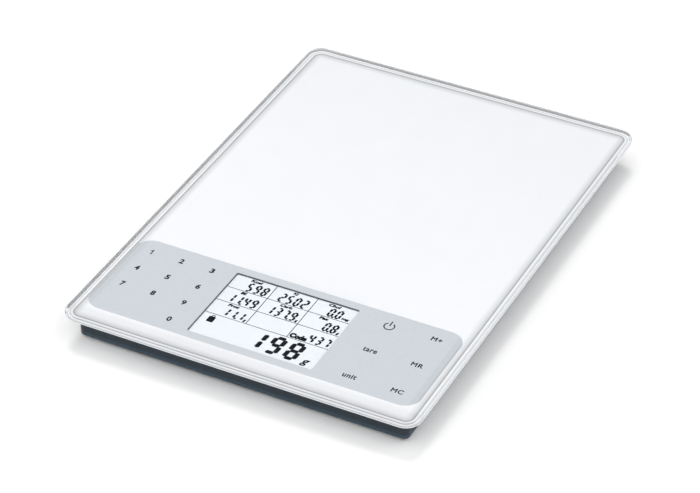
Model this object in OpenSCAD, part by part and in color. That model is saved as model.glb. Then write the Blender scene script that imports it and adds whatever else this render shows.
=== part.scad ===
// Slim glass kitchen scale: a glass platform on a plastic tray, four load cells and a touch panel.
// Origin: centre of the footprint, on the table. X right, Y to the back, Z up. Millimetres.

/* [Platform] */
// Width of the glass, left to right
glass_w = 200; // [190:1:230]
// Depth of the glass, front to back
glass_l = 281; // [275:1:300]
// Thickness of the glass
glass_t = 4; // [3:0.5:5]
// Radius of the glass corners in plan
glass_r = 9; // [9:1:14]
// Bevel along the lower edge of the glass
glass_bevel = 1.5; // [0.5:0.1:1.5]
// Arris along the upper edge of the glass
glass_arris = 0.8; // [0.3:0.1:1]
// Distance from the glass edge to the white print
print_inset = 2; // [1.5:0.5:4]

/* [Touch panel] */
// Width of the grey key panel
panel_w = 187; // [184:1:188]
// Depth of the key panel, front to back
panel_l = 63; // [60:1:64]
// Distance from the front edge of the glass to the key panel
panel_gap = 12.5; // [12:0.5:14]
// Width of the display window
window_w = 70.6; // [66:0.2:71]
// Depth of the display window
window_l = 53.4; // [50:0.2:54]
// Spacing of the number keys, left to right
key_pitch_x = 18; // [17:0.5:18]
// Spacing of the number keys, front to back
key_pitch_y = 14.9; // [14:0.1:15]

/* [Base] */
// Overall height, table to the top of the glass
total_h = 18; // [18:0.5:20]
// Gap between the table and the tray
ground_gap = 1.5; // [1.4:0.1:2]
// Distance from the glass edge to the side of the tray
tray_inset = 7; // [6.5:0.5:7.5]
// Thickness of the tray's side walls
tray_wall = 2; // [1.6:0.2:2.4]
// Thickness of the tray's floor
floor_t = 1.8; // [1.6:0.1:2]

/* [Feet] */
// Distance of the foot centres from the middle, left and right
foot_x = 72; // [71:1:73]
// Distance of the foot centres from the middle, front and back
foot_y = 106; // [104:1:107]
// Radius of the foot cups
foot_r = 11; // [10:0.5:11]

/* [Hidden] */
$fn = 96;
eps = 0.01;

// Colours
tray_colour = [0.20, 0.24, 0.28];
panel_colour = [0.82, 0.84, 0.85];
steel_colour = [0.72, 0.73, 0.75];

// Heights of the stack, from the glass down; the key film lies flush in the top of the glass
overlay_t = 0.2;
glass_z = total_h - glass_t;
print_t = 0.15;
print_z = glass_z - print_t;
print_size = [glass_w, glass_l] - 2 * [print_inset, print_inset];
foil_t = 0.15;
foil_z = print_z - foil_t;
tape_t = 0.4;
flange_top = print_z - tape_t;
flange_t = 1.6;
flange_z = flange_top - flange_t;
tray_top = flange_top - 0.15;
floor_z = ground_gap;
floor_top = floor_z + floor_t;

// Key panel and display, in plan
panel_y = -glass_l / 2 + panel_gap + panel_l / 2;
panel_r = 9;
window_r = 1;
window_size = [window_w, window_l];
cutout_size = window_size + [3, 3];
cutout_r = 2;
lens_t = 0.8;
lens_z = total_h - overlay_t - lens_t;
gasket_t = 0.5;
gasket_lip = 0.2;
gasket_z = lens_z - gasket_t;
lcd_t = 2.2;
lcd_z = gasket_z - lcd_t;
lcd_size = cutout_size - [1, 1];
lcd_ledge = 3.5;
lcd_rear_size = lcd_size - [0, 2 * lcd_ledge];
reflector_t = 0.2;
pcb_t = 1.2;
pcb_top = glass_z - 4.7;
pcb_z = pcb_top - pcb_t;
pcb_size = [100, 77];
pcb_y = panel_y + 6;
pocket_size = cutout_size + [0.8, 0.8];
pocket_wall = 1.3;

// Keys: ten numbers on the left, two columns of three on the right
first_key = [-83.5, panel_y + 21.9];
function_columns = [54.2, 80.3];
function_pitch = 22.5;
number_keys = concat(
    [for (row = [0:2], col = [0:2]) first_key + [col * key_pitch_x, -row * key_pitch_y]],
    [first_key + [2 * key_pitch_x, -3 * key_pitch_y]]);
function_keys = [for (x = function_columns, row = [-1:1]) [x, panel_y + function_pitch * row]];

// Tray and frame
tray_size = [glass_w - 2 * tray_inset, glass_l - 2 * tray_inset];
tray_r = glass_r - 6;
tray_edge_r = 1.5;
cavity_size = [tray_size.x - 2 * tray_wall, tray_size.y - 2 * tray_wall];
cavity_r = tray_r - tray_wall;
frame_size = [cavity_size.x - 1, cavity_size.y - 1];
frame_r = max(cavity_r - 0.5, 0.5);
inner_r = 0.5;
skirt_t = 1.6;
skirt_z = pcb_top + 0.1;
tape_w = 2.8;
boss_r = 3;
case_bore_r = 1.5;
case_recess_r = 3;
case_bosses = concat([for (x = [-84.5, 84.5], y = [-68, 0, 68]) [x, y]], [[-40, 124.5], [40, 124.5]]);
pcb_bosses = [for (x = [-45.5, 45.5], y = [-27.5, 27.5]) [x, panel_y + y]];
small_head_r = 2.2;
small_shank_r = 0.95;
small_bore_r = 1;

// Load cells and feet
feet = [[-1, -1], [1, -1], [-1, 1], [1, 1]];
cell_w = 30;
cell_t = 1.5;
cell_z = 7.4;
cell_top = cell_z + cell_t;
tongue_w = 11;
retainer_w = 34;
retainer_open = 26;
retainer_t = 1.4;
retainer_screw_y = 19.5;
foot_travel = 0.4;
bore_r = foot_r + 0.3;
pad_t = 1.2;
pad_r = foot_r - 0.6;
cup_flange_z = floor_top + foot_travel + 0.2;
cup_flange_r = foot_r + 1.6;
stud_r = 3;
lead_z = pcb_top + 0.3;
lead_w = 3;

// Battery bay, hinged door and coin cells
bay_size = [49.2, 32];
bay_y = -11.5;
bay_wall = 1.8;
bay_ceiling_z = 8.3;
bay_ceiling_t = 1.2;
door_gap = 0.3;
door_t = 1.6;
hinge_r = 1.2;
hinge_y = bay_y + bay_size.y / 2 - hinge_r - door_gap;
hinge_z = floor_z + hinge_r;
pin_r = 0.7;
pin_len = 1.1;
coin_r = 10;
coin_t = 3.2;
coin_z = floor_z + door_t + 0.3;
coin_x = 10.6;
coin_y = bay_y - 2;

// ---- shared shapes ----

module rounded_rect(size, r) {
    square([size.x - 2 * r, size.y], center = true);
    square([size.x, size.y - 2 * r], center = true);
    for (x = [-1, 1], y = [-1, 1])
        translate([x * (size.x / 2 - r), y * (size.y / 2 - r)]) circle(r);
}

module plate(size, r, z, t) {
    translate([0, 0, z]) linear_extrude(t) rounded_rect(size, r);
}

module block(size, z, t) {
    translate([-size.x / 2, -size.y / 2, z]) cube([size.x, size.y, t]);
}

// A plate whose edge follows a section all the way round. The children are the section,
// drawn outwards from a corner's axis; z and t are the section's height at that axis.
module edged_plate(size, r, z, t) {
    straight = [size.x - 2 * r, size.y - 2 * r];
    block(straight, z, t);
    for (k = [0:3]) {
        corner = [k == 0 || k == 3 ? 1 : -1, k < 2 ? 1 : -1];
        translate([corner.x * straight.x / 2, corner.y * straight.y / 2, 0])
            rotate(90 * k) rotate_extrude(angle = 90) children();
    }
    for (side = [0, 180]) rotate(side) {
        translate([straight.x / 2, straight.y / 2, 0])
            rotate([90, 0, 0]) linear_extrude(straight.y) children();
        translate([-straight.x / 2, straight.y / 2, 0])
            rotate([90, 0, 90]) linear_extrude(straight.x) children();
    }
}

module at_foot(k) {
    translate([feet[k].x * foot_x, feet[k].y * foot_y, 0]) children();
}

// A flat lead of constant width that runs through the given points
module flat_lead(points, w, z, t) {
    translate([0, 0, z]) linear_extrude(t) {
        for (k = [0:len(points) - 2]) {
            run = points[k + 1] - points[k];
            translate(points[k]) rotate(atan2(run.y, run.x)) translate([0, -w / 2]) square([norm(run), w]);
        }
        for (k = [1:len(points) - 2]) translate(points[k]) circle(w / 2);
    }
}

// ---- platform ----

module glass_section() {
    polygon([
        [0, glass_z],
        [glass_r - glass_bevel, glass_z],
        [glass_r, glass_z + glass_bevel],
        [glass_r, total_h - glass_arris],
        [glass_r - glass_arris, total_h],
        [0, total_h]
    ]);
}

// The outline of the key film with its display window, t high from z
module key_film(z, t) {
    translate([0, panel_y, z]) linear_extrude(t) difference() {
        rounded_rect([panel_w, panel_l], panel_r);
        rounded_rect(window_size, window_r);
    }
}

module glass_platform() {
    color([0.80, 0.90, 0.92, 0.5]) difference() {
        edged_plate([glass_w, glass_l], glass_r, glass_z, glass_t) glass_section();
        key_film(total_h - overlay_t, 1);
        translate([0, panel_y, 0]) plate(cutout_size, cutout_r, glass_z - 1, glass_t + 2);
    }
}

module back_print() {
    color("white") difference() {
        plate(print_size, glass_r - print_inset, print_z, print_t);
        translate([0, panel_y, 0]) block(cutout_size + [1, 1], print_z - 1, print_t + 2);
    }
}

module control_overlay() {
    color(panel_colour) key_film(total_h - overlay_t, overlay_t);
}

module mounting_tape() {
    tape = frame_size - [0.8, 0.8];
    color("gainsboro") difference() {
        plate(tape, frame_r, flange_top, tape_t);
        plate(tape - 2 * [tape_w, tape_w], inner_r, flange_top - 1, tape_t + 2);
        translate([0, panel_y, 0]) block(pocket_size + [0.4, 0.4], flange_top - 1, tape_t + 2);
    }
}

// ---- display and electronics ----

module display_lens() {
    color([0.85, 0.92, 0.95, 0.4]) translate([0, panel_y, 0])
        plate(cutout_size - [0.2, 0.2], cutout_r - 0.1, lens_z, lens_t);
}

module display_gasket() {
    color([0.12, 0.13, 0.14]) translate([0, panel_y, 0]) difference() {
        plate(cutout_size - [0.2, 0.2], cutout_r - 0.1, gasket_z, gasket_t);
        plate(window_size - 2 * [gasket_lip, gasket_lip], window_r, gasket_z - 1, gasket_t + 2);
    }
}

module lcd_panel() {
    color([0.85, 0.88, 0.90]) translate([0, panel_y, 0]) {
        block(lcd_size, lcd_z + lcd_t / 2, lcd_t / 2);
        block(lcd_rear_size, lcd_z, lcd_t / 2);
    }
}

module lcd_reflector() {
    color([0.93, 0.94, 0.95]) translate([0, panel_y, 0])
        block(lcd_rear_size - [1, 1], lcd_z - reflector_t, reflector_t);
}

// The display stands on this frame, between its two elastomer strips
module lcd_holder() {
    rim = 4;
    color([0.88, 0.88, 0.86]) translate([0, panel_y, 0]) difference() {
        block(lcd_rear_size, pcb_top, lcd_z - reflector_t - pcb_top);
        block(lcd_rear_size - 2 * [rim, rim], pcb_top - 1, 8);
    }
}

module zebra_strips() {
    strip_w = 2.2;
    strip_y = (lcd_size.y - lcd_ledge) / 2;
    color([0.55, 0.30, 0.35]) for (side = [-1, 1])
        translate([0, panel_y + side * strip_y, 0])
            block([lcd_size.x - 4, strip_w], pcb_top, lcd_z + lcd_t / 2 - pcb_top);
}

module main_pcb() {
    color([0.10, 0.38, 0.22]) difference() {
        translate([0, pcb_y, 0]) plate(pcb_size, 2, pcb_z, pcb_t);
        for (p = pcb_bosses) translate([p.x, p.y, pcb_z - 1]) cylinder(r = 1.3, h = pcb_t + 2);
    }
}

module controller_chip() {
    chip_x = -18;
    chip_w = 10;
    chip_t = 1.4;
    legs = 11;
    leg_pitch = 0.8;
    leg_w = 0.3;
    leg_t = 0.2;
    leg_drop = 0.9;
    knee = 0.5;
    toe_l = 0.9;
    color([0.12, 0.12, 0.13]) translate([chip_x, panel_y, 0]) {
        block([chip_w, chip_w], pcb_z - chip_t - leg_t, chip_t);
        for (side = [0, 90, 180, 270], k = [0:legs - 1]) rotate(side)
            translate([chip_w / 2, (k - (legs - 1) / 2) * leg_pitch - leg_w / 2, pcb_z - leg_drop]) {
                cube([knee + leg_t, leg_w, leg_t]);
                translate([knee, 0, 0]) cube([leg_t, leg_w, leg_drop]);
                translate([knee, 0, leg_drop - leg_t]) cube([toe_l, leg_w, leg_t]);
            }
    }
}

module smd_components() {
    chip_size = [2, 1.2, 0.6];
    first_chip = [8, 4];
    chip_pitch = [5, 4];
    can_h = 1.5;
    first_can = [-34, -18];
    can_pitch = 7;
    crystal = [12, -8];
    crystal_h = 1.8;
    color([0.30, 0.26, 0.22]) translate([0, panel_y, 0]) {
        for (row = [0:3], col = [0:5])
            translate(first_chip + [col * chip_pitch.x, row * chip_pitch.y])
                translate([0, 0, pcb_z - chip_size.z]) cube(chip_size);
        for (k = [0:2])
            translate([first_can.x + k * can_pitch, first_can.y, pcb_z - can_h]) cylinder(r = 2, h = can_h);
        translate(crystal) plate([11, 4.5], 2.2, pcb_z - crystal_h, crystal_h);
    }
}

lead_connector_x = [-18, -9, 0, 9, 18];
connector_y = panel_y + 39.6;

module lead_connectors() {
    mouth = [lead_w + 0.2, 4, 1.4];
    color("ivory") for (x = lead_connector_x) translate([x, connector_y, 0]) difference() {
        block([7, 5], pcb_top, 2.1);
        translate([-mouth.x / 2, -1.5, lead_z - 0.2]) cube(mouth);
    }
}

tail_x = 36;
tail_w = 10;

module tail_connectors() {
    color([0.15, 0.15, 0.16]) for (side = [-1, 1])
        translate([side * tail_x, connector_y, 0]) difference() {
            block([tail_w + 3, 4], pcb_top, 1.6);
            block([tail_w + 0.4, 0.6], pcb_top + 0.4, 2);
        }
}

module screw(head_r, head_z, head_t, shank_r, shank_len) {
    slot_w = 0.5;
    slot_depth = 0.4;
    slot_l = head_r * 1.2;
    translate([0, 0, head_z]) difference() {
        cylinder(r = head_r, h = head_t);
        for (turn = [0, 90]) rotate(turn) block([slot_l, slot_w], -1, slot_depth + 1);
    }
    translate([0, 0, head_z + head_t]) cylinder(r = shank_r, h = shank_len);
}

module pcb_screws() {
    head_t = 1;
    color(steel_colour) for (p = pcb_bosses) translate([p.x, p.y, 0])
        screw(small_head_r, pcb_z - head_t, head_t, small_shank_r, pcb_t + 2);
}

// ---- touch sensing ----

// One sensor foil beside the display, with a tail down to the board; side is -1 left, 1 right
module touch_foil(side) {
    inner_x = pocket_size.x / 2 + 0.8;
    outer_x = 86.6;
    foil_l = 60;
    neck_l = 4;
    foil_back = panel_y + foil_l / 2;
    tail_left = tail_x - tail_w / 2;
    tail_end = connector_y + foil_t / 2;
    plug_z = pcb_top + 0.4;
    color([0.85, 0.62, 0.25]) mirror([side < 0 ? 1 : 0, 0, 0]) {
        translate([inner_x, foil_back - foil_l, foil_z]) cube([outer_x - inner_x, foil_l, foil_t]);
        translate([inner_x, foil_back, foil_z]) cube([tail_w, neck_l, foil_t]);
        translate([tail_left, foil_back + neck_l, foil_z])
            cube([inner_x + tail_w - tail_left, tail_end - foil_back - neck_l, foil_t]);
        translate([tail_left, tail_end - foil_t, plug_z]) cube([tail_w, foil_t, foil_z + foil_t - plug_z]);
    }
}

module touch_foil_left() { touch_foil(-1); }

module touch_foil_right() { touch_foil(1); }

module touch_electrodes() {
    color([0.80, 0.48, 0.25]) for (key = concat(number_keys, function_keys))
        translate([key.x, key.y, foil_z - 0.1]) cylinder(r = 3, h = 0.1);
}

// ---- inner frame ----

module load_cell_pocket() {
    lead_notch = [6, 5, 1.6];
    difference() {
        union() {
            block([retainer_w, retainer_w], cell_top, flange_z - cell_top + eps);
            for (side = [-1, 1]) translate([0, side * retainer_screw_y, cell_z])
                cylinder(r = 2.6, h = flange_z - cell_z + eps);
        }
        block([retainer_open, retainer_open], cell_top - 1, flange_z - cell_top + 1);
        block([cell_w + 0.6, cell_w + 0.6], cell_z - 1, cell_t + 1);
        for (side = [-1, 1]) translate([0, side * retainer_screw_y, cell_z - 1])
            cylinder(r = small_bore_r, h = 4.5);
        translate([-retainer_w / 2 - 1, 4.5, lead_z - 0.3]) cube(lead_notch);
    }
}

module inner_frame() {
    windows = [for (x = [-26, 26], y = [-22, 37, 90]) [x, y]];
    window_size = [40, 44];
    color([0.88, 0.88, 0.86]) difference() {
        union() {
            plate(frame_size, frame_r, flange_z, flange_t);
            difference() {
                plate(frame_size, frame_r, skirt_z, flange_z - skirt_z + eps);
                plate(frame_size - 2 * [skirt_t, skirt_t], inner_r, skirt_z - 1, flange_z);
            }
            for (k = [0:3]) at_foot(k) mirror([feet[k].x < 0 ? 1 : 0, 0, 0]) load_cell_pocket();
            for (p = case_bosses) translate([p.x, p.y, floor_top])
                cylinder(r = boss_r, h = flange_z - floor_top + eps);
            for (p = pcb_bosses) translate([p.x, p.y, pcb_top])
                cylinder(r = 2.8, h = flange_z - pcb_top + eps);
            translate([0, panel_y, 0])
                block(pocket_size + 2 * [pocket_wall, pocket_wall], pcb_top, flange_z - pcb_top + eps);
        }
        translate([0, panel_y, 0]) block(pocket_size, pcb_top - 1, flange_top - pcb_top + 2);
        for (w = windows) translate([w.x, w.y, 0]) plate(window_size, 4, flange_z - 1, flange_t + 2);
        for (side = [-1, 1]) translate([side * tail_x, connector_y, 0])
            block([tail_w + 2, 3], flange_z - 1, flange_t + 2);
        for (p = case_bosses) translate([p.x, p.y, floor_top - 1]) cylinder(r = 1.3, h = 7);
        for (p = pcb_bosses) translate([p.x, p.y, pcb_top - 1]) cylinder(r = small_bore_r, h = 3.2);
    }
}

// ---- tray, battery bay and door ----

module tray_section() {
    translate([0, floor_z]) {
        square([tray_r - tray_edge_r, tray_top - floor_z]);
        translate([0, tray_edge_r]) square([tray_r, tray_top - floor_z - tray_edge_r]);
        translate([tray_r - tray_edge_r, tray_edge_r]) circle(tray_edge_r);
    }
}

module battery_bay_walls() {
    outer = bay_size + 2 * [bay_wall, bay_wall];
    translate([0, bay_y, 0]) block(outer, floor_top - eps, bay_ceiling_z + bay_ceiling_t - floor_top);
}

module battery_bay_hollow() {
    translate([0, bay_y, 0]) block(bay_size, floor_z - 1, bay_ceiling_z - floor_z + 1);
    for (side = [-1, 1]) translate([side * bay_size.x / 2, hinge_y, hinge_z])
        rotate([0, 90, 0]) cylinder(r = pin_r + 0.06, h = 2 * (pin_len + 0.1), center = true);
}

module tray_ribs() {
    rib_h = 1.2;
    rib_t = 1.2;
    long_rib = [-50, 165];
    cross_w = 156;
    for (x = [-36, 36]) translate([x - rib_t / 2, long_rib[0], floor_top - eps])
        cube([rib_t, long_rib[1], rib_h]);
    for (y = [24, 58]) translate([-cross_w / 2, y - rib_t / 2, floor_top - eps])
        cube([cross_w, rib_t, rib_h]);
}

module base_tray() {
    collar_r = cup_flange_r + 0.6;
    collar_t = 1.2;
    thumb_r = 8.2;
    thumb_w = 16;
    thumb_axis = [bay_y - bay_size.y / 2 - 3.5, floor_z - 7.2];
    divider = [0.8, 5];
    color(tray_colour) difference() {
        union() {
            difference() {
                edged_plate(tray_size, tray_r, floor_z, tray_top - floor_z) tray_section();
                plate(cavity_size, cavity_r, floor_top, tray_top);
            }
            tray_ribs();
            battery_bay_walls();
            for (k = [0:3]) at_foot(k) translate([0, 0, floor_top - eps]) difference() {
                cylinder(r = collar_r + collar_t, h = collar_t);
                translate([0, 0, eps]) cylinder(r = collar_r, h = 3);
            }
        }
        for (k = [0:3]) at_foot(k) translate([0, 0, floor_z - 1]) cylinder(r = bore_r, h = 5);
        for (p = case_bosses) translate([p.x, p.y, floor_z - 1]) {
            cylinder(r = case_bore_r, h = 5);
            cylinder(r = case_recess_r, h = 2);
        }
        battery_bay_hollow();
        translate([0, thumb_axis.x, thumb_axis.y]) rotate([0, 90, 0])
            cylinder(r = thumb_r, h = thumb_w, center = true);
    }
    color(tray_colour) translate([0, bay_y, 0]) {
        stop_y = coin_y - bay_y + coin_r + 0.3;
        wall_h = bay_ceiling_z - coin_z + eps;
        translate([-bay_size.x / 2 - eps, stop_y, coin_z]) cube([bay_size.x + 2 * eps, 1, wall_h]);
        translate([-divider.x / 2, 3 - bay_size.y / 2, coin_z]) cube([divider.x, divider.y, wall_h]);
    }
}

module battery_door() {
    door_x = bay_size.x - 2 * door_gap;
    front_y = bay_y - bay_size.y / 2 + door_gap;
    finger_w = 12;
    slot_w = 1;
    slot_l = 6;
    hook_inset = 1;
    hook_t = 1.2;
    hook_h = 2.2;
    grips = 4;
    grip_pitch = 2;
    grip_w = 0.8;
    grip_depth = 0.4;
    first_grip = 9;
    color(tray_colour) {
        difference() {
            translate([-door_x / 2, front_y, floor_z]) cube([door_x, hinge_y - front_y, door_t]);
            for (side = [-1, 1]) translate([side * finger_w / 2 - slot_w / 2, front_y - 1, floor_z - 1])
                cube([slot_w, slot_l + 1, door_t + 2]);
            for (k = [0:grips - 1])
                translate([-finger_w / 2, front_y + first_grip + grip_pitch * k, floor_z - 1])
                    cube([finger_w, grip_w, grip_depth + 1]);
        }
        translate([-finger_w / 2 + hook_inset, front_y, floor_z + door_t - eps])
            cube([finger_w - 2 * hook_inset, hook_t, hook_h]);
        translate([-door_x / 2, hinge_y, hinge_z]) rotate([0, 90, 0]) cylinder(r = hinge_r, h = door_x);
        translate([-door_x / 2 - pin_len, hinge_y, hinge_z]) rotate([0, 90, 0])
            cylinder(r = pin_r, h = door_x + 2 * pin_len);
    }
}

module coin_cells() {
    cap_r = 8.8;
    cap_t = 0.6;
    color(steel_colour) for (side = [-1, 1]) translate([side * coin_x, coin_y, coin_z]) {
        cylinder(r = coin_r, h = coin_t - cap_t);
        cylinder(r = cap_r, h = coin_t);
    }
}

module positive_contacts() {
    leaf_w = 5;
    leaf_t = 0.4;
    leaf_y = coin_y - coin_r - leaf_t;
    leaf_foot = coin_z + 0.4;
    tab_l = 2;
    color([0.80, 0.78, 0.70]) for (side = [-1, 1]) translate([side * coin_x - leaf_w / 2, leaf_y, 0]) {
        translate([0, 0, leaf_foot]) cube([leaf_w, leaf_t, bay_ceiling_z - leaf_foot]);
        translate([0, -tab_l, bay_ceiling_z - leaf_t]) cube([leaf_w, tab_l + leaf_t, leaf_t]);
    }
}

module negative_contacts() {
    leaf_t = 0.3;
    coin_top = coin_z + coin_t;
    color([0.80, 0.78, 0.70]) for (side = [-1, 1]) translate([side * coin_x, coin_y, 0]) {
        block([8, 14], bay_ceiling_z - leaf_t, leaf_t);
        translate([0, 0, coin_top]) cylinder(r = 2, h = bay_ceiling_z - leaf_t - coin_top + eps);
    }
}

module case_screws() {
    head_r = 2.7;
    head_t = 0.9;
    shank_r = 1.2;
    shank_l = 6.5;
    color(steel_colour) for (p = case_bosses) translate([p.x, p.y, 0])
        screw(head_r, floor_z + 0.1, head_t, shank_r, shank_l);
}

// ---- load cells and their leads ----

module load_cell(k) {
    slot = [tongue_w + 4, 21];
    slot_front = -10;
    tongue_front = slot_front + 2;
    corner = cell_w / 2 - 2.5;
    color(steel_colour) at_foot(k) {
        difference() {
            block([cell_w, cell_w], cell_z, cell_t);
            translate([-slot.x / 2, slot_front, cell_z - 1]) cube([slot.x, slot.y, cell_t + 2]);
            for (x = [-1, 1], y = [-1, 1]) translate([x * corner, y * corner, cell_z - 1])
                cylinder(r = 1, h = cell_t + 2);
        }
        translate([-tongue_w / 2, tongue_front, cell_z])
            cube([tongue_w, slot_front + slot.y - tongue_front + eps, cell_t]);
    }
}

module load_cell_front_left() { load_cell(0); }

module load_cell_front_right() { load_cell(1); }

module load_cell_rear_left() { load_cell(2); }

module load_cell_rear_right() { load_cell(3); }

module strain_gauges() {
    color([0.85, 0.60, 0.20]) for (k = [0:3]) at_foot(k) translate([0, 4.5, 0]) block([6, 4], cell_top, 0.15);
}

module cell_retainers() {
    lip_top = cell_top - 0.3;
    color([0.88, 0.88, 0.86]) for (k = [0:3]) at_foot(k) difference() {
        union() {
            block([retainer_w, retainer_w], cell_z - retainer_t, retainer_t);
            difference() {
                block([retainer_w, retainer_w - 6], cell_z - eps, lip_top - cell_z);
                block([cell_w + 0.4, retainer_w], cell_z - 1, 4);
            }
            for (side = [-1, 1]) translate([0, side * retainer_screw_y, cell_z - retainer_t])
                cylinder(r = 3, h = retainer_t);
        }
        block([retainer_open, retainer_open], cell_z - retainer_t - 1, retainer_t + 2);
        for (side = [-1, 1]) translate([0, side * retainer_screw_y, cell_z - retainer_t - 1])
            cylinder(r = 1.1, h = retainer_t + 2);
    }
}

module retainer_screws() {
    head_t = 0.9;
    color(steel_colour) for (k = [0:3], side = [-1, 1]) at_foot(k) translate([0, side * retainer_screw_y, 0])
        screw(small_head_r, cell_z - retainer_t - head_t, head_t, small_shank_r, retainer_t + 3);
}

module cell_leads() {
    gauge_y = 7;
    front_run = [52.6, -48];
    rear_run = [49, -43];
    lead_end = connector_y + 1.5;
    color([0.75, 0.20, 0.18]) for (side = [-1, 1]) {
        flat_lead([[side * foot_x, -foot_y + gauge_y], [side * front_run.x, -foot_y + gauge_y],
            [side * front_run.x, front_run.y], [side * lead_connector_x[4], front_run.y],
            [side * lead_connector_x[4], lead_end]], lead_w, lead_z, 1);
        flat_lead([[side * foot_x, foot_y + gauge_y], [side * rear_run.x, foot_y + gauge_y],
            [side * rear_run.x, rear_run.y], [side * lead_connector_x[3], rear_run.y],
            [side * lead_connector_x[3], lead_end]], lead_w, lead_z, 1);
    }
}

module battery_leads() {
    bay_front = bay_y - bay_size.y / 2;
    lead_end = connector_y + 1.5;
    color([0.70, 0.10, 0.10]) for (side = [-1, 1])
        flat_lead([[side * coin_x, bay_front + 3], [side * coin_x, bay_front - 4],
            [side * 0.8, bay_front - 10], [side * 0.8, lead_end]], 1, bay_ceiling_z + bay_ceiling_t, 1);
}

// ---- feet ----

module foot_cup(k) {
    recess_r = pad_r - 1.2;
    recess_depth = 1.3;
    flange_h = 1;
    color(tray_colour) at_foot(k) difference() {
        union() {
            translate([0, 0, pad_t]) cylinder(r = foot_r, h = cup_flange_z - pad_t + eps);
            translate([0, 0, cup_flange_z]) cylinder(r = cup_flange_r, h = flange_h);
            translate([0, 0, cup_flange_z]) cylinder(r = stud_r, h = cell_z - cup_flange_z);
        }
        translate([0, 0, pad_t - 1]) cylinder(r = recess_r, h = recess_depth + 1);
    }
}

module foot_cup_front_left() { foot_cup(0); }

module foot_cup_front_right() { foot_cup(1); }

module foot_cup_rear_left() { foot_cup(2); }

module foot_cup_rear_right() { foot_cup(3); }

module foot_pad(k) {
    plug_r = pad_r - 1.3;
    plug_h = 1.1;
    groove_r = 6;
    groove_w = 1.2;
    groove_depth = 0.4;
    color([0.25, 0.26, 0.28]) at_foot(k) rotate_extrude() difference() {
        union() {
            square([pad_r, pad_t]);
            square([plug_r, pad_t + plug_h]);
        }
        translate([groove_r, -1]) square([groove_w, groove_depth + 1]);
    }
}

module foot_pad_front_left() { foot_pad(0); }

module foot_pad_front_right() { foot_pad(1); }

module foot_pad_rear_left() { foot_pad(2); }

module foot_pad_rear_right() { foot_pad(3); }

glass_platform();
back_print();
control_overlay();
display_lens();
display_gasket();
mounting_tape();
inner_frame();
base_tray();
lcd_panel();
lcd_reflector();
lcd_holder();
zebra_strips();
main_pcb();
controller_chip();
smd_components();
lead_connectors();
tail_connectors();
pcb_screws();
touch_foil_left();
touch_foil_right();
touch_electrodes();
load_cell_front_left();
load_cell_front_right();
load_cell_rear_left();
load_cell_rear_right();
strain_gauges();
cell_retainers();
retainer_screws();
cell_leads();
battery_leads();
coin_cells();
positive_contacts();
negative_contacts();
case_screws();
battery_door();
foot_cup_front_left();
foot_cup_front_right();
foot_cup_rear_left();
foot_cup_rear_right();
foot_pad_front_left();
foot_pad_front_right();
foot_pad_rear_left();
foot_pad_rear_right();
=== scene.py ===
"""Looks of the slim glass kitchen scale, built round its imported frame. Metres, Z up."""

import math

import bmesh
import bpy
from mathutils import Matrix, Vector


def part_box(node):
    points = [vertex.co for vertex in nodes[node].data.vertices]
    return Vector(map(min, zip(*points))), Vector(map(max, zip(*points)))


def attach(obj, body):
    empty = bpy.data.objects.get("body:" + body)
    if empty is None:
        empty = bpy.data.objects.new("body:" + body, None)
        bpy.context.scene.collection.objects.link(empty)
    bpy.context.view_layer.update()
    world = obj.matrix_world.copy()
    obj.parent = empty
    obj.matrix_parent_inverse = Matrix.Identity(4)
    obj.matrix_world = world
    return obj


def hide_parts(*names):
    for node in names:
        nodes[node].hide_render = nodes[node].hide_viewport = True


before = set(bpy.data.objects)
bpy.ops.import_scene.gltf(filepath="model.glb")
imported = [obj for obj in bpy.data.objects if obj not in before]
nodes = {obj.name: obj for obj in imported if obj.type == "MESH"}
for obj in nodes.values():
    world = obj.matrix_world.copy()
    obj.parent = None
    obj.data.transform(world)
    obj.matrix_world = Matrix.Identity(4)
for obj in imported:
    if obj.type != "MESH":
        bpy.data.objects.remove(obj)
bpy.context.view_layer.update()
MM = 0.001
BODY = "scale_body"

# Radii and bevels that the frame's boxes don't give
GLASS_CORNER_R = 9 * MM
GLASS_BEVEL = 1.5 * MM
GLASS_ARRIS = 0.8 * MM
FILM_CORNER_R = 9 * MM
WINDOW_CORNER_R = 2 * MM


# ---- materials ----

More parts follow.
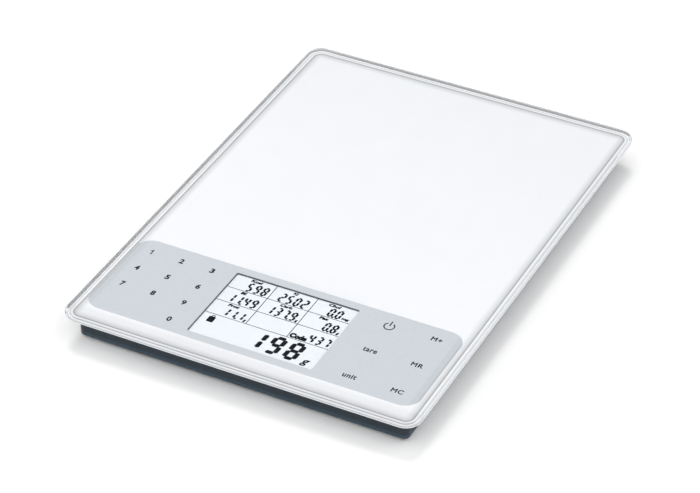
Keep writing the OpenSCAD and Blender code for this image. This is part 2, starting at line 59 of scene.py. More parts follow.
class Surface:
    """A material with one Principled shader, and textures measured in millimetres of the object."""

    def __init__(self, name, colour, roughness, metallic=0.0, **settings):
        self.material = bpy.data.materials.new(name + "_finish")
        self.material.use_nodes = True
        self.tree = self.material.node_tree
        self.shader = self.tree.nodes["Principled BSDF"]
        self.output = self.tree.nodes["Material Output"]
        self.colour = colour
        self.set("Base Color", (*colour, 1))
        self.set("Roughness", roughness)
        self.set("Metallic", metallic)
        for socket, value in settings.items():
            self.set(socket.replace("_", " "), value)

    def set(self, socket, value):
        self.shader.inputs[socket].default_value = value

    def add(self, kind, attributes=None, **inputs):
        """Adds a node with some of its inputs set or linked; _0 stands for the input at index 0."""
        node = self.tree.nodes.new(kind)
        for key, value in (attributes or {}).items():
            setattr(node, key, value)
        for key, value in inputs.items():
            socket = node.inputs[int(key[1:])] if key[0] == "_" else node.inputs[key]
            if isinstance(value, bpy.types.NodeSocket):
                self.tree.links.new(value, socket)
            else:
                socket.default_value = value
        return node

    def maths(self, operation, first, second=0.0):
        return self.add("ShaderNodeMath", {"operation": operation}, _0=first, _1=second).outputs[0]

    def place(self):
        """Object coordinates in metres."""
        return self.add("ShaderNodeTexCoord").outputs["Object"]

    def along(self, axis):
        """The object coordinate along one axis, in metres."""
        return self.add("ShaderNodeSeparateXYZ", Vector=self.place()).outputs[axis]

    def space(self, size, stretch=(1, 1, 1)):
        """Object coordinates in units of size millimetres, drawn out along the axes by stretch."""
        scale = tuple(1 / (size * MM * length) for length in stretch)
        return self.add("ShaderNodeMapping", Vector=self.place(), Scale=scale).outputs["Vector"]

    def noise(self, size, detail=3.0, stretch=(1, 1, 1)):
        node = self.add("ShaderNodeTexNoise", Vector=self.space(size, stretch), Scale=1.0, Detail=detail)
        return node.outputs["Fac"]

    def cells(self, size):
        """Distance from the middle of the nearest of many cells."""
        node = self.add("ShaderNodeTexVoronoi", Vector=self.space(size), Scale=1.0)
        return node.outputs["Distance"]

    def stripes(self, size, distortion=0.0):
        """Bands that follow one another along X."""
        node = self.add("ShaderNodeTexWave", {"bands_direction": "X"}, Vector=self.space(size),
                        Scale=1.0, Distortion=distortion)
        return node.outputs["Fac"]

    def levels(self, value, low, high, low_out=0.0, high_out=1.0):
        """Maps low to low_out and high to high_out, and stays level beyond them."""
        node = self.add("ShaderNodeMapRange", Value=value)
        limits = {"From Min": low, "From Max": high, "To Min": low_out, "To Max": high_out}
        for key, limit in limits.items():
            node.inputs[key].default_value = limit
        return node.outputs["Result"]

    def blend(self, factor, first, second):
        """The first colour where factor is 0 and the second where it is 1."""
        node = self.add("ShaderNodeMix", {"data_type": "RGBA"})
        self.tree.links.new(factor, node.inputs["Factor"])
        for index, colour in ((6, first), (7, second)):
            if isinstance(colour, bpy.types.NodeSocket):
                self.tree.links.new(colour, node.inputs[index])
            else:
                node.inputs[index].default_value = (*colour, 1)
        return node.outputs[2]

    def source(self, socket):
        """What is linked to one of the shader's sockets."""
        return self.shader.inputs[socket].links[0].from_socket

    def paint(self, socket):
        self.tree.links.new(socket, self.shader.inputs["Base Color"])
        return self

    def mottle(self, size, spread, detail=3.0, stretch=(1, 1, 1)):
        """Varies the colour by the share spread of itself either way."""
        dark = [c * (1 - spread) for c in self.colour]
        light = [min(1.0, c * (1 + spread)) for c in self.colour]
        share = self.levels(self.noise(size, detail, stretch), 0.35, 0.65)
        return self.paint(self.blend(share, dark, light))

    def polish(self, size, low, high, stretch=(1, 1, 1)):
        """Varies the roughness between low and high."""
        share = self.levels(self.noise(size, 2.0, stretch), 0.35, 0.65, low, high)
        self.tree.links.new(share, self.shader.inputs["Roughness"])
        return self

    def emboss(self, height, depth):
        """Bumps the surface by depth millimetres."""
        node = self.add("ShaderNodeBump", Height=height, Strength=1.0, Distance=depth * MM)
        self.tree.links.new(node.outputs["Normal"], self.shader.inputs["Normal"])
        return self

    def fade(self, distance, span, greys):
        """Multiplies the colour by greys, each at its share of span, as distance grows to span."""
        ramp = self.add("ShaderNodeValToRGB", Fac=self.levels(distance, 0.0, span))
        stops = ramp.color_ramp.elements
        (first, low), *between, (last, high) = greys
        stops[0].position, stops[0].color = first, (low, low, low, 1)
        stops[1].position, stops[1].color = last, (high, high, high, 1)
        for position, grey in between:
            stops.new(position).color = (grey, grey, grey, 1)
        mix = self.add("ShaderNodeMix", {"data_type": "RGBA", "blend_type": "MULTIPLY"})
        mix.inputs["Factor"].default_value = 1.0
        self.tree.links.new(self.source("Base Color"), mix.inputs[6])
        self.tree.links.new(ramp.outputs["Color"], mix.inputs[7])
        return self.paint(mix.outputs[2])

    def pass_lamps(self):
        """Lets light straight through clear glass, so that what lies behind it is lit evenly."""
        clear = self.add("ShaderNodeBsdfTransparent").outputs["BSDF"]
        path = self.add("ShaderNodeLightPath").outputs
        seen = self.shader.outputs["BSDF"]
        for kind in ("Is Shadow Ray", "Is Diffuse Ray"):
            seen = self.add("ShaderNodeMixShader", _0=path[kind], _1=seen, _2=clear).outputs["Shader"]
        self.tree.links.new(seen, self.output.inputs["Surface"])
        return self


def moulded(name, colour, roughness, grain=0.45, depth=0.012, **settings):
    """Injection-moulded plastic with a spark-eroded grain."""
    made = Surface(name, colour, roughness, **settings)
    made.mottle(9, spread=0.07, detail=5.0).polish(1.6, roughness - 0.07, roughness + 0.09)
    pits = made.levels(made.cells(grain * 1.6), 0.0, 0.7, 0.0, 0.6)
    return made.emboss(made.maths("ADD", made.noise(grain, 4.0), pits), depth)


def tray_shell():
    """Dark moulded plastic, with painted light: paler along the lower edge of its wall, as if lit from
    the floor, and a trace darker up the wall.
    """
    made = moulded("tray_plastic", (0.031, 0.052, 0.072), 0.42, Specular_IOR_Level=0.3)
    underside = (0.0, 0.48)
    # Painted light: the lower edge of the wall is painted paler, as if lit from the floor, and the wall a
    # trace darker upwards, as shade under the glass.
    painted_lit_hem = (0.01, 1.0), (0.24, 1.0)
    wall = (0.36, 0.46), (1.0, 0.44)
    rise = made.maths("SUBTRACT", made.along("Z"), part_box("base_tray")[0].z)
    return made.fade(rise, 10 * MM, (underside, *painted_lit_hem, *wall))


def elastomer(name, colour, roughness=0.75):
    """Soft rubber or foam: matt, with open cells."""
    made = Surface(name, colour, roughness)
    made.mottle(3, 0.18, 6.0).polish(0.9, roughness - 0.12, roughness + 0.1)
    return made.emboss(made.levels(made.cells(0.5), 0.0, 0.6), 0.03)


def brushed(name, colour, roughness, along, spread=0.10):
    """Rolled or brushed sheet metal, with its grain drawn out along one axis."""
    made = Surface(name, colour, roughness, 1.0)
    made.mottle(0.35, spread, 4.0, along).polish(0.5, roughness - 0.08, roughness + 0.12, along)
    return made.emboss(made.noise(0.18, 3.0, along), 0.004)


def turned(name, colour, roughness):
    """Plated steel, such as a screw: fine overlapping tool marks and a little tarnish."""
    made = Surface(name, colour, roughness, 1.0)
    made.mottle(1.4, 0.14, 6.0).polish(0.4, roughness - 0.06, roughness + 0.14)
    return made.emboss(made.noise(0.12, 5.0), 0.006)


def film(name, colour, roughness, metallic=0.0, size=1.2, spread=0.05, **settings):
    """Printed film, tape or foil: nearly smooth, with a slight orange peel."""
    made = Surface(name, colour, roughness, metallic, **settings)
    made.mottle(size * 6, spread, 4.0).polish(size, roughness - 0.05, roughness + 0.06)
    return made.emboss(made.noise(size * 0.5, 2.0), 0.004)


def bordered_print(name, colour):
    """White enamel under glass, with painted shade: greyer in front of the keys and towards the back,
    a fine dark line along the clear rim, and a dark border that fades off inwards."""
    made = film(name, colour, 0.5, size=2.0, spread=0.006, Specular_IOR_Level=0.0)
    low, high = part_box("glass_platform")
    core = (high - low) / 2 - Vector((GLASS_CORNER_R, GLASS_CORNER_R, -1))

    def vector(operation, *values):
        node = made.add("ShaderNodeVectorMath", {"operation": operation})
        for socket, value in zip(node.inputs, values):
            if isinstance(value, bpy.types.NodeSocket):
                made.tree.links.new(value, socket)
            else:
                socket.default_value = value
        return node

    beyond = vector("SUBTRACT", vector("ABSOLUTE", made.place()).outputs[0], core).outputs[0]
    round_part = vector("LENGTH", vector("MAXIMUM", beyond, (0, 0, 0)).outputs[0]).outputs["Value"]
    axes = made.add("ShaderNodeSeparateXYZ", Vector=beyond).outputs
    straight_part = made.maths("MINIMUM", made.maths("MAXIMUM", axes["X"], axes["Y"]), 0.0)
    inset = made.maths("SUBTRACT", GLASS_CORNER_R, made.maths("ADD", round_part, straight_part))
    depth = made.maths("SUBTRACT", made.along("Y"), low.y)

    # Painted shade: greyer across the strip in front of the keys, and darker towards the back.
    painted_front_shade = (0.0, 0.91), (0.038, 0.915)
    top = (0.05, 1.0), (0.29, 1.0), (1.0, 0.925)
    made.fade(depth, high.y - low.y, (*painted_front_shade, *top))

    # Painted shade along the border: a fine dark line near the clear rim, and a dark band that fades off
    # inwards.
    rim = (0.0, 1.0)
    painted_rim_line_shade = (0.23, 0.95), (0.24, 0.66), (0.27, 0.66), (0.28, 0.95)
    painted_border_shade = (0.405, 0.96), (0.42, 0.42), (0.46, 0.48), (0.50, 0.66)
    painted_shade_fading = (0.57, 0.78), (0.70, 0.88), (0.88, 1.0)
    return made.fade(inset, 10 * MM, (rim, *painted_rim_line_shade, *painted_border_shade, *painted_shade_fading))


def key_film(name, colour):
    """Grey film, with painted shade: a darker line inside its left and right borders that fades off
    inwards.
    """
    made = film(name, colour, 0.34, size=0.5, spread=0.012, Specular_IOR_Level=0.2)
    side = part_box("control_overlay")[1].x
    inset = made.maths("SUBTRACT", side, made.maths("ABSOLUTE", made.along("X")))
    # Painted shade along the left and right borders: a dark line, then shading that fades off inwards.
    painted_side_line_shade = (0.03, 0.92), (0.08, 0.76), (0.13, 0.78), (0.22, 0.90)
    painted_shade_fading = (0.4, 0.94), (0.6, 0.92), (0.95, 1.0)
    return made.fade(inset, 5 * MM, (*painted_side_line_shade, *painted_shade_fading)).pass_lamps()


def glazing(name, tint, ior, ripple):
    """Clear glass or acrylic with a faint ripple in its polish, and nearly clean."""
    made = Surface(name, tint, 0.0, Transmission_Weight=1.0, IOR=ior)
    made.mottle(60, 0.006).polish(14, 0.0, 0.012)
    return made.emboss(made.noise(22, 1.0), ripple).pass_lamps()


def platform_glass():
    """Clear glass, a trace darker through its edge; the lower bevel is left ground and hazy, with a dark
    grey painted on it as shade.
    """
    made = glazing("clear_glass", (0.985, 0.995, 0.993), 1.5, 0.0015)
    edge_tint, painted_bevel_shade, ground_haze = (0.90, 0.915, 0.93), (0.20, 0.205, 0.21), 0.2
    foot, top = (corner.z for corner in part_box("glass_platform"))
    margin, step = 0.02 * MM, 0.06 * MM
    height = made.along("Z")
    above = made.levels(height, foot + margin, foot + margin + step)

    def side(limit):
        """1 on the faces between the underside of the glass and the limit."""
        return made.maths("MULTIPLY", above, made.levels(height, limit, limit - step))

    ground = side(foot + GLASS_BEVEL)
    made.paint(made.blend(side(top - margin), made.source("Base Color"), edge_tint))
    # Painted shade: the ground bevel is tinted dark grey, for the dark line where it shows the shaded
    # floor beneath.
    made.paint(made.blend(ground, made.source("Base Color"), painted_bevel_shade))
    haze = made.add("ShaderNodeMath", {"operation": "MULTIPLY_ADD"}, _0=ground, _1=ground_haze,
                    _2=made.source("Roughness"))
    made.tree.links.new(haze.outputs[0], made.shader.inputs["Roughness"])
    return made


def circuit_board():
    """Green solder mask over copper tracks, which show as paler raised lines."""
    made = Surface("board", (0.02, 0.16, 0.07), 0.35)
    tracks = made.levels(made.stripes(2.2, distortion=3.0), 0.62, 0.70)
    made.paint(made.blend(tracks, (0.012, 0.115, 0.05), (0.04, 0.26, 0.11)))
    made.polish(2, 0.25, 0.42)
    return made.emboss(tracks, 0.02)


def striped_rubber():
    """Elastomer connector: carbon layers between clear ones, 0.1 mm apart."""
    made = Surface("zebra_rubber", (0.5, 0.28, 0.32), 0.55)
    layers = made.levels(made.stripes(0.32), 0.45, 0.55)
    made.paint(made.blend(layers, (0.02, 0.02, 0.02), (0.55, 0.30, 0.34)))
    return made.emboss(layers, 0.01)


def ceramic_parts():
    """Chip components: tan ceramic, mottled from one to the next."""
    made = Surface("component_ceramic", (0.42, 0.33, 0.25), 0.45)
    made.mottle(0.9, 0.25, 5.0).polish(0.5, 0.3, 0.55)
    return made.emboss(made.noise(0.25, 4.0), 0.01)


MATERIALS = {
    "clear_glass": platform_glass(),
    "lens_acrylic": glazing("lens_acrylic", (0.99, 0.995, 1.0), 1.49, 0.001),
    "white_print": bordered_print("white_print", (0.850, 0.860, 0.886)),
    "panel_film": key_film("panel_film", (0.54, 0.572, 0.605)),
    "gasket_foam": elastomer("gasket_foam", (0.07, 0.078, 0.088)),
    "tape": film("tape", (0.80, 0.81, 0.79), 0.6),
    "tray_plastic": tray_shell(),
    "frame_plastic": moulded("frame_plastic", (0.80, 0.80, 0.77), 0.48, depth=0.006),
    "lcd_glass": film("lcd_glass", (0.82, 0.855, 0.905), 0.3, size=1.6, spread=0.008,
                      Specular_IOR_Level=0.1),
    "reflector_film": film("reflector_film", (0.9, 0.91, 0.92), 0.3, metallic=0.6),
    "zebra_rubber": striped_rubber(),
    "board": circuit_board(),
    "chip_plastic": moulded("chip_plastic", (0.03, 0.03, 0.034), 0.5, grain=0.2, depth=0.008),
    "component_ceramic": ceramic_parts(),
    "connector_plastic": moulded("connector_plastic", (0.82, 0.79, 0.68), 0.4, grain=0.4, depth=0.006),
    "tail_connector_plastic": moulded("tail_connector_plastic", (0.05, 0.05, 0.055), 0.45, grain=0.3,
                                      depth=0.006),
    "screw_steel": turned("screw_steel", (0.60, 0.61, 0.63), 0.3),
    "foil_film": film("foil_film", (0.66, 0.38, 0.10), 0.25, metallic=0.2, size=0.8, spread=0.10),
    "electrode_copper": turned("electrode_copper", (0.80, 0.44, 0.24), 0.28),
    "cell_steel": brushed("cell_steel", (0.62, 0.63, 0.65), 0.32, along=(1, 30, 1)),
    "gauge_foil": film("gauge_foil", (0.72, 0.44, 0.14), 0.35, metallic=0.4, size=0.3, spread=0.2),
    "lead_pvc": film("lead_pvc", (0.50, 0.04, 0.035), 0.4),
    "coin_steel": brushed("coin_steel", (0.74, 0.74, 0.75), 0.22, along=(20, 1, 1), spread=0.06),
    "contact_nickel": turned("contact_nickel", (0.76, 0.73, 0.66), 0.25),
    "cup_plastic": moulded("cup_plastic", (0.022, 0.028, 0.036), 0.48, grain=0.4),
    "pad_rubber": elastomer("pad_rubber", (0.030, 0.031, 0.034), 0.8),
    "legend_ink": film("legend_ink", (0.010, 0.016, 0.024), 0.5, size=0.3, spread=0.10,
                       Specular_IOR_Level=0.1),
    "display_ink": film("display_ink", (0.008, 0.009, 0.012), 0.4, size=0.3, spread=0.10,
                        Specular_IOR_Level=0.0),
}


def dress_cad_nodes():
    """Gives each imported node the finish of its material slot."""
    for node in nodes.values():
        for material_slot in node.material_slots:
            finish = material_slot.material.name
            material_slot.material = MATERIALS[finish].material


# ---- mesh helpers ----

def new_piece(name, mesh, finish, body=BODY):
    """Puts a mesh in the scene with a finish, and lets it ride on a body."""
    piece = bpy.data.objects.new(name, mesh)
    bpy.context.scene.collection.objects.link(piece)
    mesh.materials.clear()
    mesh.materials.append(MATERIALS[finish].material)
    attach(piece, body)
    return piece


def rounded_rectangle(left, right, bottom, top, radius, steps):
    """The outline's (x, y) points, anticlockwise from the end of its right side."""
    centres = ((right - radius, top - radius), (left + radius, top - radius),
               (left + radius, bottom + radius), (right - radius, bottom + radius))
    points = []
    for quarter, centre in enumerate(centres):
        for step in range(steps + 1):
            angle = math.radians(90 * (quarter + step / steps))
            points.append(Vector(centre) + radius * Vector((math.cos(angle), math.sin(angle))))
    return points


def rounded_loop(low, high, radius, z, steps=20):
    """A rounded rectangle between two corners, at height z."""
    outline = rounded_rectangle(low.x, high.x, low.y, high.y, radius, steps)
    return [Vector((*point, z)) for point in outline]


def skin(loops, sharp_angle, closed=False):
    """A mesh of the quads between loops of as many points each; closed joins the last to the first."""
    bm = bmesh.new()
    rings = [[bm.verts.new(point) for point in loop] for loop in loops]
    count = len(rings[0])
    pairs = list(zip(rings, rings[1:])) + ([(rings[-1], rings[0])] if closed else [])
    for first, second in pairs:
        for k in range(count):
            bm.faces.new((first[k], first[(k + 1) % count], second[(k + 1) % count], second[k]))
    bmesh.ops.recalc_face_normals(bm, faces=bm.faces)
    mesh = bpy.data.meshes.new("skin")
    bm.to_mesh(mesh)
    bm.free()
    mesh.shade_smooth()
    mesh.set_sharp_from_angle(angle=math.radians(sharp_angle))
    return mesh


class Ink:
    """Gathers printed shapes, each a thin solid between two heights, into one mesh."""

    def __init__(self, z, thickness=0.03 * MM):
        self.bm = bmesh.new()
        self.low = z - thickness / 2
        self.high = z + thickness / 2

    def polygon(self, points):
        """A filled outline of (x, y) points, anticlockwise."""
        rings = [[self.bm.verts.new((x, y, z)) for x, y in points] for z in (self.low, self.high)]
        self.bm.faces.new(rings[1])
        self.bm.faces.new(rings[0][::-1])
        for k in range(len(points)):
            n = (k + 1) % len(points)
            self.bm.faces.new((rings[0][k], rings[0][n], rings[1][n], rings[1][k]))

    def bar(self, x1, y1, x2, y2, width):
        """A straight line of even width."""
        start, end = Vector((x1, y1)), Vector((x2, y2))
        side = (end - start).orthogonal().normalized() * width / 2
        self.polygon([start - side, end - side, end + side, start + side][::-1])

    def ring(self, centre, inner, outer, first, last, steps, place=tuple):
        """A ring, or the arc of one between two angles in degrees; place moves each of its points."""
        angles = [math.radians(first + (last - first) * k / steps) for k in range(steps + 1)]
        for a, b in zip(angles, angles[1:]):
            corners = ((inner, a), (outer, a), (outer, b), (inner, b))
            self.polygon([place(centre + r * Vector((math.cos(t), math.sin(t)))) for r, t in corners])

    def text(self, words, left, right, bottom, top, shear=0.0, weight=0.0, spacing=1.0):
        """Words in the built-in face, fitted to a box; weight thickens the strokes."""
        curve = bpy.data.curves.new("words", "FONT")
        curve.body = words
        curve.size = 1.0
        curve.shear = shear
        curve.space_character = spacing
        curve.resolution_u = 6
        curve.extrude = 0.5
        curve.bevel_depth = weight
        curve.bevel_resolution = 0
        carrier = bpy.data.objects.new("words", curve)
        bpy.context.scene.collection.objects.link(carrier)
        graph = bpy.context.evaluated_depsgraph_get()
        mesh = bpy.data.meshes.new_from_object(carrier.evaluated_get(graph))
        xs = [v.co.x for v in mesh.vertices]
        ys = [v.co.y for v in mesh.vertices]
        scale_x = (right - left) / (max(xs) - min(xs))
        scale_y = (top - bottom) / (max(ys) - min(ys))
        for v in mesh.vertices:
            v.co = (left + (v.co.x - min(xs)) * scale_x, bottom + (v.co.y - min(ys)) * scale_y,
                    self.low if v.co.z < 0 else self.high)
        self.bm.from_mesh(mesh)
        bpy.data.objects.remove(carrier)
        bpy.data.curves.remove(curve)
        bpy.data.meshes.remove(mesh)

    def piece(self, name, finish, slot):
        """Puts the shapes in the scene as one piece."""
        mesh = bpy.data.meshes.new(name)
        bmesh.ops.recalc_face_normals(self.bm, faces=self.bm.faces)
        self.bm.to_mesh(mesh)
        self.bm.free()
        new_piece(name, mesh, finish)


# ---- glass platform ----

def build_glass():
    """The platform with its ground edge between two bevels, key film recess and display cut-out."""
    low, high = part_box("glass_platform")
    film_low, film_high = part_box("control_overlay")
    lens_low, lens_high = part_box("display_lens")
    bonded, play, lens_gap = 0.05 * MM, 0.03 * MM, 0.1 * MM
    bottom = low.z - bonded

    def outline(inset, z):
        step = Vector((inset, inset, 0))
        return rounded_loop(low + step, high - step, GLASS_CORNER_R - inset, z)

    def rim(box_low, box_high, grow, radius, z):
        step = Vector((grow, grow, 0))
        return rounded_loop(box_low - step, box_high + step, radius + grow, z)

    def cutout(z):
        return rim(lens_low, lens_high, lens_gap, WINDOW_CORNER_R, z)

    def recess(z):
        return rim(film_low, film_high, play, FILM_CORNER_R, z)

    floor_z = film_low.z - bonded / 2
    loops = [cutout(bottom), outline(GLASS_BEVEL, bottom), outline(0, low.z + GLASS_BEVEL),
             outline(0, high.z - GLASS_ARRIS), outline(GLASS_ARRIS, high.z),
             recess(high.z), recess(floor_z), cutout(floor_z)]
    mesh = skin(loops, sharp_angle=30, closed=True)
    glass = new_piece("glass_plate", mesh, "clear_glass")
    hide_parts("glass_platform")


# ---- key legends ----

def build_legends():
    """The numbers, the names of the functions and the power sign on the key film."""
    film_low, film_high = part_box("control_overlay")
    panel_y = (film_low.y + film_high.y) / 2
    z = film_high.z
    pitch_x, pitch_y = 18 * MM, 14.9 * MM
    first_x, first_y = -83.5 * MM, panel_y + 21.9 * MM
    digit_w, digit_h, stroke = 2.5 * MM, 3.9 * MM, 0.6 * MM
    bold, regular = 0.042, 0.027

    numbers = Ink(z)
    places = {str(k + 1): (k % 3, k // 3) for k in range(9)}
    places["0"] = (2, 3)
    for digit, (column, row) in places.items():
        x = first_x + column * pitch_x
        y = first_y - row * pitch_y
        bottom, top = y - digit_h / 2, y + digit_h / 2
        if digit == "1":
            stem_x, flag_x = x + 0.3 * MM, x - 0.8 * MM
            numbers.bar(stem_x, bottom, stem_x, top, stroke)
            numbers.bar(stem_x, y + digit_h * 0.42, flag_x, y + digit_h * 0.18, stroke)
        else:
            numbers.text(digit, x - digit_w / 2, x + digit_w / 2, bottom, top, weight=bold)
    numbers.piece("key_numbers", "legend_ink", "panel_film")

    names = Ink(z)
    left_x, right_x, row_pitch = 54.25 * MM, 80.3 * MM, 22.5 * MM
    row_y = [panel_y + k * row_pitch for k in (1, 0, -1)]
    cap = 3.2 * MM
    for words, x, y, width, height in (
            ("M+", right_x, row_y[0], 6.0 * MM, cap), ("MR", right_x, row_y[1], 6.5 * MM, cap),
            ("MC", right_x, row_y[2], 6.5 * MM, cap), ("tare", left_x, row_y[1], 7.6 * MM, cap),
            ("unit", left_x, row_y[2], 7.4 * MM, 3.5 * MM)):
        names.text(words, x - width / 2, x + width / 2, y - height / 2, y + height / 2,
                   weight=regular, spacing=1.12)
    names.piece("function_legends", "legend_ink", "panel_film")

    ring_r, line = 2.7 * MM, 0.65 * MM
    centre = Vector((left_x, row_y[0] - 1.0 * MM))
    stem_bottom, stem_top = centre.y + 0.2 * MM, centre.y + ring_r + 1.5 * MM
    upwards, gap = 90, 32
    power = Ink(z)
    power.ring(centre, ring_r - line / 2, ring_r + line / 2, upwards + gap, upwards + 360 - gap, steps=40)
    power.bar(centre.x, stem_bottom, centre.x, stem_top, line)
    power.piece("power_symbol", "legend_ink", "panel_film")


# ---- display ----

SEGMENT_GAP_SHARE = 0.14
SEGMENTS = {"0": "abcdef", "1": "bc", "2": "abged", "3": "abgcd", "4": "fgbc",
            "5": "afgcd", "6": "afgedc", "7": "abc", "8": "abcdefg", "9": "abcdfg"}


class Face:
    """The display's face. Places are millimetres from a point just off the middle of its window,
    and row_scale closes the rows up a little."""

    def __init__(self):
        low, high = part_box("lcd_panel")
        window_low, window_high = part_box("display_gasket")
        self.z = high.z
        self.middle = (window_low + window_high) / 2
        self.shift = Vector((-0.65, 0.75))
        self.row_scale = 0.978

    def place(self, u, v):
        return (self.middle.x + (u + self.shift.x) * MM,
                self.middle.y + (v * self.row_scale + self.shift.y) * MM)

    def segment(self, ink, start, end, width, slant, base, nib_share):
        """One bar with pointed ends between two corners of a digit, leaning by slant."""
        start, end = Vector(start), Vector(end)
        along = (end - start).normalized()
        side = along.orthogonal() * width / 2
        gap = along * width * SEGMENT_GAP_SHARE
        nib = along * width * nib_share
        start, end = start + gap, end - gap
        outline = [start, start + nib - side, end - nib - side, end, end - nib + side, start + nib + side]
        ink.polygon([self.place(p.x + slant * (p.y - base), p.y) for p in outline])

    def number(self, ink, digits, right, bottom, top, pitch, width, stroke, slant, nib_share):
        """Seven-segment digits that end at right; a point belongs to the digit before it."""
        height = top - bottom
        lean = slant * height
        shown = [(c, "." in digits[k + 1:k + 2]) for k, c in enumerate(digits) if c != "."]
        half = stroke / 2
        for place, (digit, pointed) in enumerate(reversed(shown)):
            x2 = right - lean - place * pitch - half
            x1 = x2 - width + stroke
            y1, y2 = bottom + half, top - half
            ym = (y1 + y2) / 2
            ends = {"a": ((x1, y2), (x2, y2)), "b": ((x2, ym), (x2, y2)), "c": ((x2, y1), (x2, ym)),
                    "d": ((x1, y1), (x2, y1)), "e": ((x1, y1), (x1, ym)), "f": ((x1, ym), (x1, y2)),
                    "g": ((x1, ym), (x2, ym))}
            for name in SEGMENTS[digit]:
                self.segment(ink, *ends[name], stroke, slant, bottom, nib_share)
            if pointed:
                middle = x2 + (pitch - width + stroke) / 2
                corners = ((-half, 0), (half, 0), (half, stroke), (-half, stroke))
                ink.polygon([self.place(middle + x, bottom + y) for x, y in corners])

    def words(self, ink, text, left, right, bottom, top, weight=0.07, shear=0.12):
        (x1, y1), (x2, y2) = self.place(left, bottom), self.place(right, top)
        ink.text(text, x1, x2, y1, y2, shear, weight)


def build_display():
    """The lines, digits, labels and sign on the display."""
    face = Face()
    z = face.z

    grid = Ink(z)
    half_width, grid_top = 35.3, 27.0
    across, upright = 0.38 * MM, 0.42 * MM
    row_lines, column_lines = (14.9, 3.0, -8.8), (-11.25, 12.15)
    for v in row_lines:
        start, end = (face.place(u - face.shift.x, v) for u in (-half_width, half_width))
        grid.bar(*start, *end, across)
    for u in column_lines:
        grid.bar(*face.place(u, row_lines[-1]), *face.place(u, grid_top), upright)
    grid.piece("display_grid", "display_ink", "gasket_foam")

    small = {"pitch": 4.3, "width": 3.3, "stroke": 1.24, "slant": 0.085, "nib_share": 0.22}
    large = {"pitch": 10.45, "width": 7.8, "stroke": 2.55, "slant": 0.075, "nib_share": 0.26}
    digits = Ink(z)
    for text, right, bottom, top in (
            ("598", -12.8, 15.3, 23.0),
            ("2502", 10.2, 15.3, 23.0),
            ("0.0", 29.7, 15.5, 23.0),
            ("11.49", -12.9, 3.6, 11.2),
            ("137.9", 9.6, 3.6, 11.2),
            ("0.8", 32.8, 3.7, 11.3),
            ("11.1", -14.0, -8.0, -1.0),
            ("437", 34.7, -8.1, -0.9)):
        face.number(digits, text, right, bottom, top, **small)
    face.number(digits, "198", right=25.5, bottom=-25.2, top=-10.1, **large)
    digits.piece("display_digits", "display_ink", "gasket_foam")

    labels = Ink(z)
    for text, left, right, bottom, top in (
            ("Kcal", -25.5, -19.0, 23.7, 25.9),
            ("KJ", -1.2, 1.6, 23.7, 25.9),
            ("Chol", 19.2, 26.0, 23.7, 25.9),
            ("BE", -25.5, -22.2, 12.1, 14.3),
            ("Carb", -2.8, 4.2, 12.1, 14.3),
            ("Fat", 19.5, 24.6, 12.1, 14.3),
            ("Prot", -26.5, -20.2, 0.2, 2.4),
            ("mg", 29.9, 34.2, 15.9, 18.0),
            ("g", 9.6, 11.2, 3.5, 5.7),
            ("g", 33.0, 34.5, 3.6, 5.8),
            ("g", -13.8, -12.2, -8.2, -6.0)):
        face.words(labels, text, left, right, bottom, top)
    face.words(labels, "Code", 12.7, 22.3, -8.3, -4.3, weight=0.095, shear=0.0)
    face.words(labels, "g", 27.6, 31.9, -26.2, -21.0, weight=0.03, shear=0.25)
    labels.piece("display_labels", "display_ink", "gasket_foam")

    build_weight_icon(face)


def build_weight_icon(face):
    """A small weight with a ring on top: the sign for the weighing mode."""
    icon = Ink(face.z)
    left, right, bottom, top = -30.5, -26.8, -15.8, -11.2
    body = rounded_rectangle(left, right, bottom, top, radius=0.5, steps=4)
    icon.polygon([face.place(*point) for point in body])
    ring_centre = Vector(((left + right) / 2 + 0.2, top + 0.55))
    inner, outer = 0.45, 0.95
    icon.ring(ring_centre, inner, outer, 0, 360, steps=24, place=lambda point: face.place(*point))
    icon.piece("display_weight_icon", "display_ink", "gasket_foam")


# ---- stage, light and camera ----

def build_stage():
    """A floor that only shows from above, with a hatch under the tray that lights views from below."""
    low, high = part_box("base_tray")
    reach, reach_r = Vector((4, 4, 0)), 1
    hem, hatch_r = Vector((12, 12, 0)) * MM, 4 * MM
    drop = 0.1 * MM
    hatch = rounded_loop(low + hem, high - hem, hatch_r, 0)
    mesh = skin([hatch, rounded_loop(-reach, reach, reach_r, 0)], sharp_angle=30)
    if mesh.polygons[0].normal.z < 0:
        mesh.flip_normals()
    floor = bpy.data.objects.new("floor", mesh)
    floor.location.z = -drop
    bpy.context.scene.collection.objects.link(floor)
    paper = Surface("floor_paper", (0.93, 0.93, 0.93), 0.8)
    paper.mottle(400, 0.004)
    below = paper.add("ShaderNodeNewGeometry").outputs["Backfacing"]
    clear = paper.add("ShaderNodeBsdfTransparent").outputs["BSDF"]
    sheet = paper.add("ShaderNodeMixShader", _0=below, _1=paper.shader.outputs["BSDF"], _2=clear)
    paper.tree.links.new(sheet.outputs["Shader"], paper.output.inputs["Surface"])
    mesh.materials.append(paper.material)


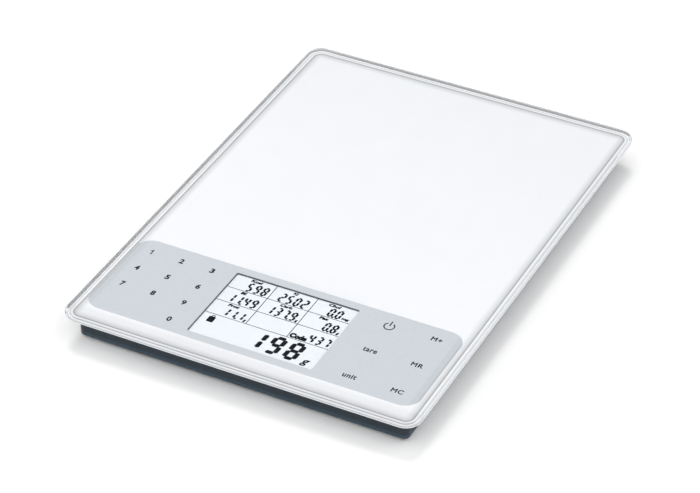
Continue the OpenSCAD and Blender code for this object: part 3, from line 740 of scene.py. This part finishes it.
def build_world():
    """A bright studio with a dark card behind, where the top of the glass would mirror it."""
    card_towards, card_edge, card_core = (-0.364, 0.715, 0.597), 0.55, 0.90
    world = bpy.data.worlds.new("studio")
    bpy.context.scene.world = world
    world.use_nodes = True
    tree = world.node_tree
    background = tree.nodes["Background"]
    place = tree.nodes.new("ShaderNodeTexCoord")
    towards = tree.nodes.new("ShaderNodeVectorMath")
    towards.operation = "DOT_PRODUCT"
    towards.inputs[1].default_value = card_towards
    tree.links.new(place.outputs["Generated"], towards.inputs[0])
    ramp = tree.nodes.new("ShaderNodeValToRGB")
    ramp.color_ramp.interpolation = "EASE"
    tree.links.new(towards.outputs["Value"], ramp.inputs["Fac"])
    elements = ramp.color_ramp.elements
    elements[0].position, elements[0].color = card_edge, (1.0, 1.0, 1.0, 1)
    elements[1].position, elements[1].color = card_core, (0.06, 0.062, 0.065, 1)
    tree.links.new(ramp.outputs["Color"], background.inputs["Color"])
    background.inputs["Strength"].default_value = 1.29


def build_key_light():
    """A softbox high up behind and to the left, aimed at the middle of the scale."""
    place, side, power = Vector((-0.60, 0.88, 1.85)), 0.7, 14
    light = bpy.data.lights.new("key", "AREA")
    light.shape = "RECTANGLE"
    light.size = light.size_y = side
    light.energy = power
    lamp = bpy.data.objects.new("key", light)
    bpy.context.scene.collection.objects.link(lamp)
    lamp.location = place
    lamp.rotation_euler = (-place).to_track_quat("-Z", "Y").to_euler()


def build_camera():
    """A long lens to the right of the front, looking down at the scale."""
    azimuth, elevation, roll = (math.radians(angle) for angle in (26.95, 36.64, -0.12))
    distance = 1.52244
    target = Vector((-4.7, -2.39, 0)) * MM
    back = Vector((math.sin(azimuth) * math.cos(elevation),
                   -math.cos(azimuth) * math.cos(elevation), math.sin(elevation)))
    right = (-back).cross(Vector((0, 0, 1))).normalized()
    up = back.cross(right)
    turn = Matrix((right, up, back)).transposed() @ Matrix.Rotation(roll, 3, "Z")
    data = bpy.data.cameras.new("camera")
    data.sensor_width = 36
    data.lens = 147.4
    data.clip_start, data.clip_end = 0.05, 20
    camera = bpy.data.objects.new("camera", data)
    camera.matrix_world = Matrix.Translation(target + back * distance) @ turn.to_4x4()
    bpy.context.scene.collection.objects.link(camera)
    bpy.context.scene.camera = camera
    bpy.context.scene.view_settings.view_transform = "Standard"


dress_cad_nodes()
build_glass()
build_legends()
build_display()
build_stage()
build_world()
build_key_light()
build_camera()
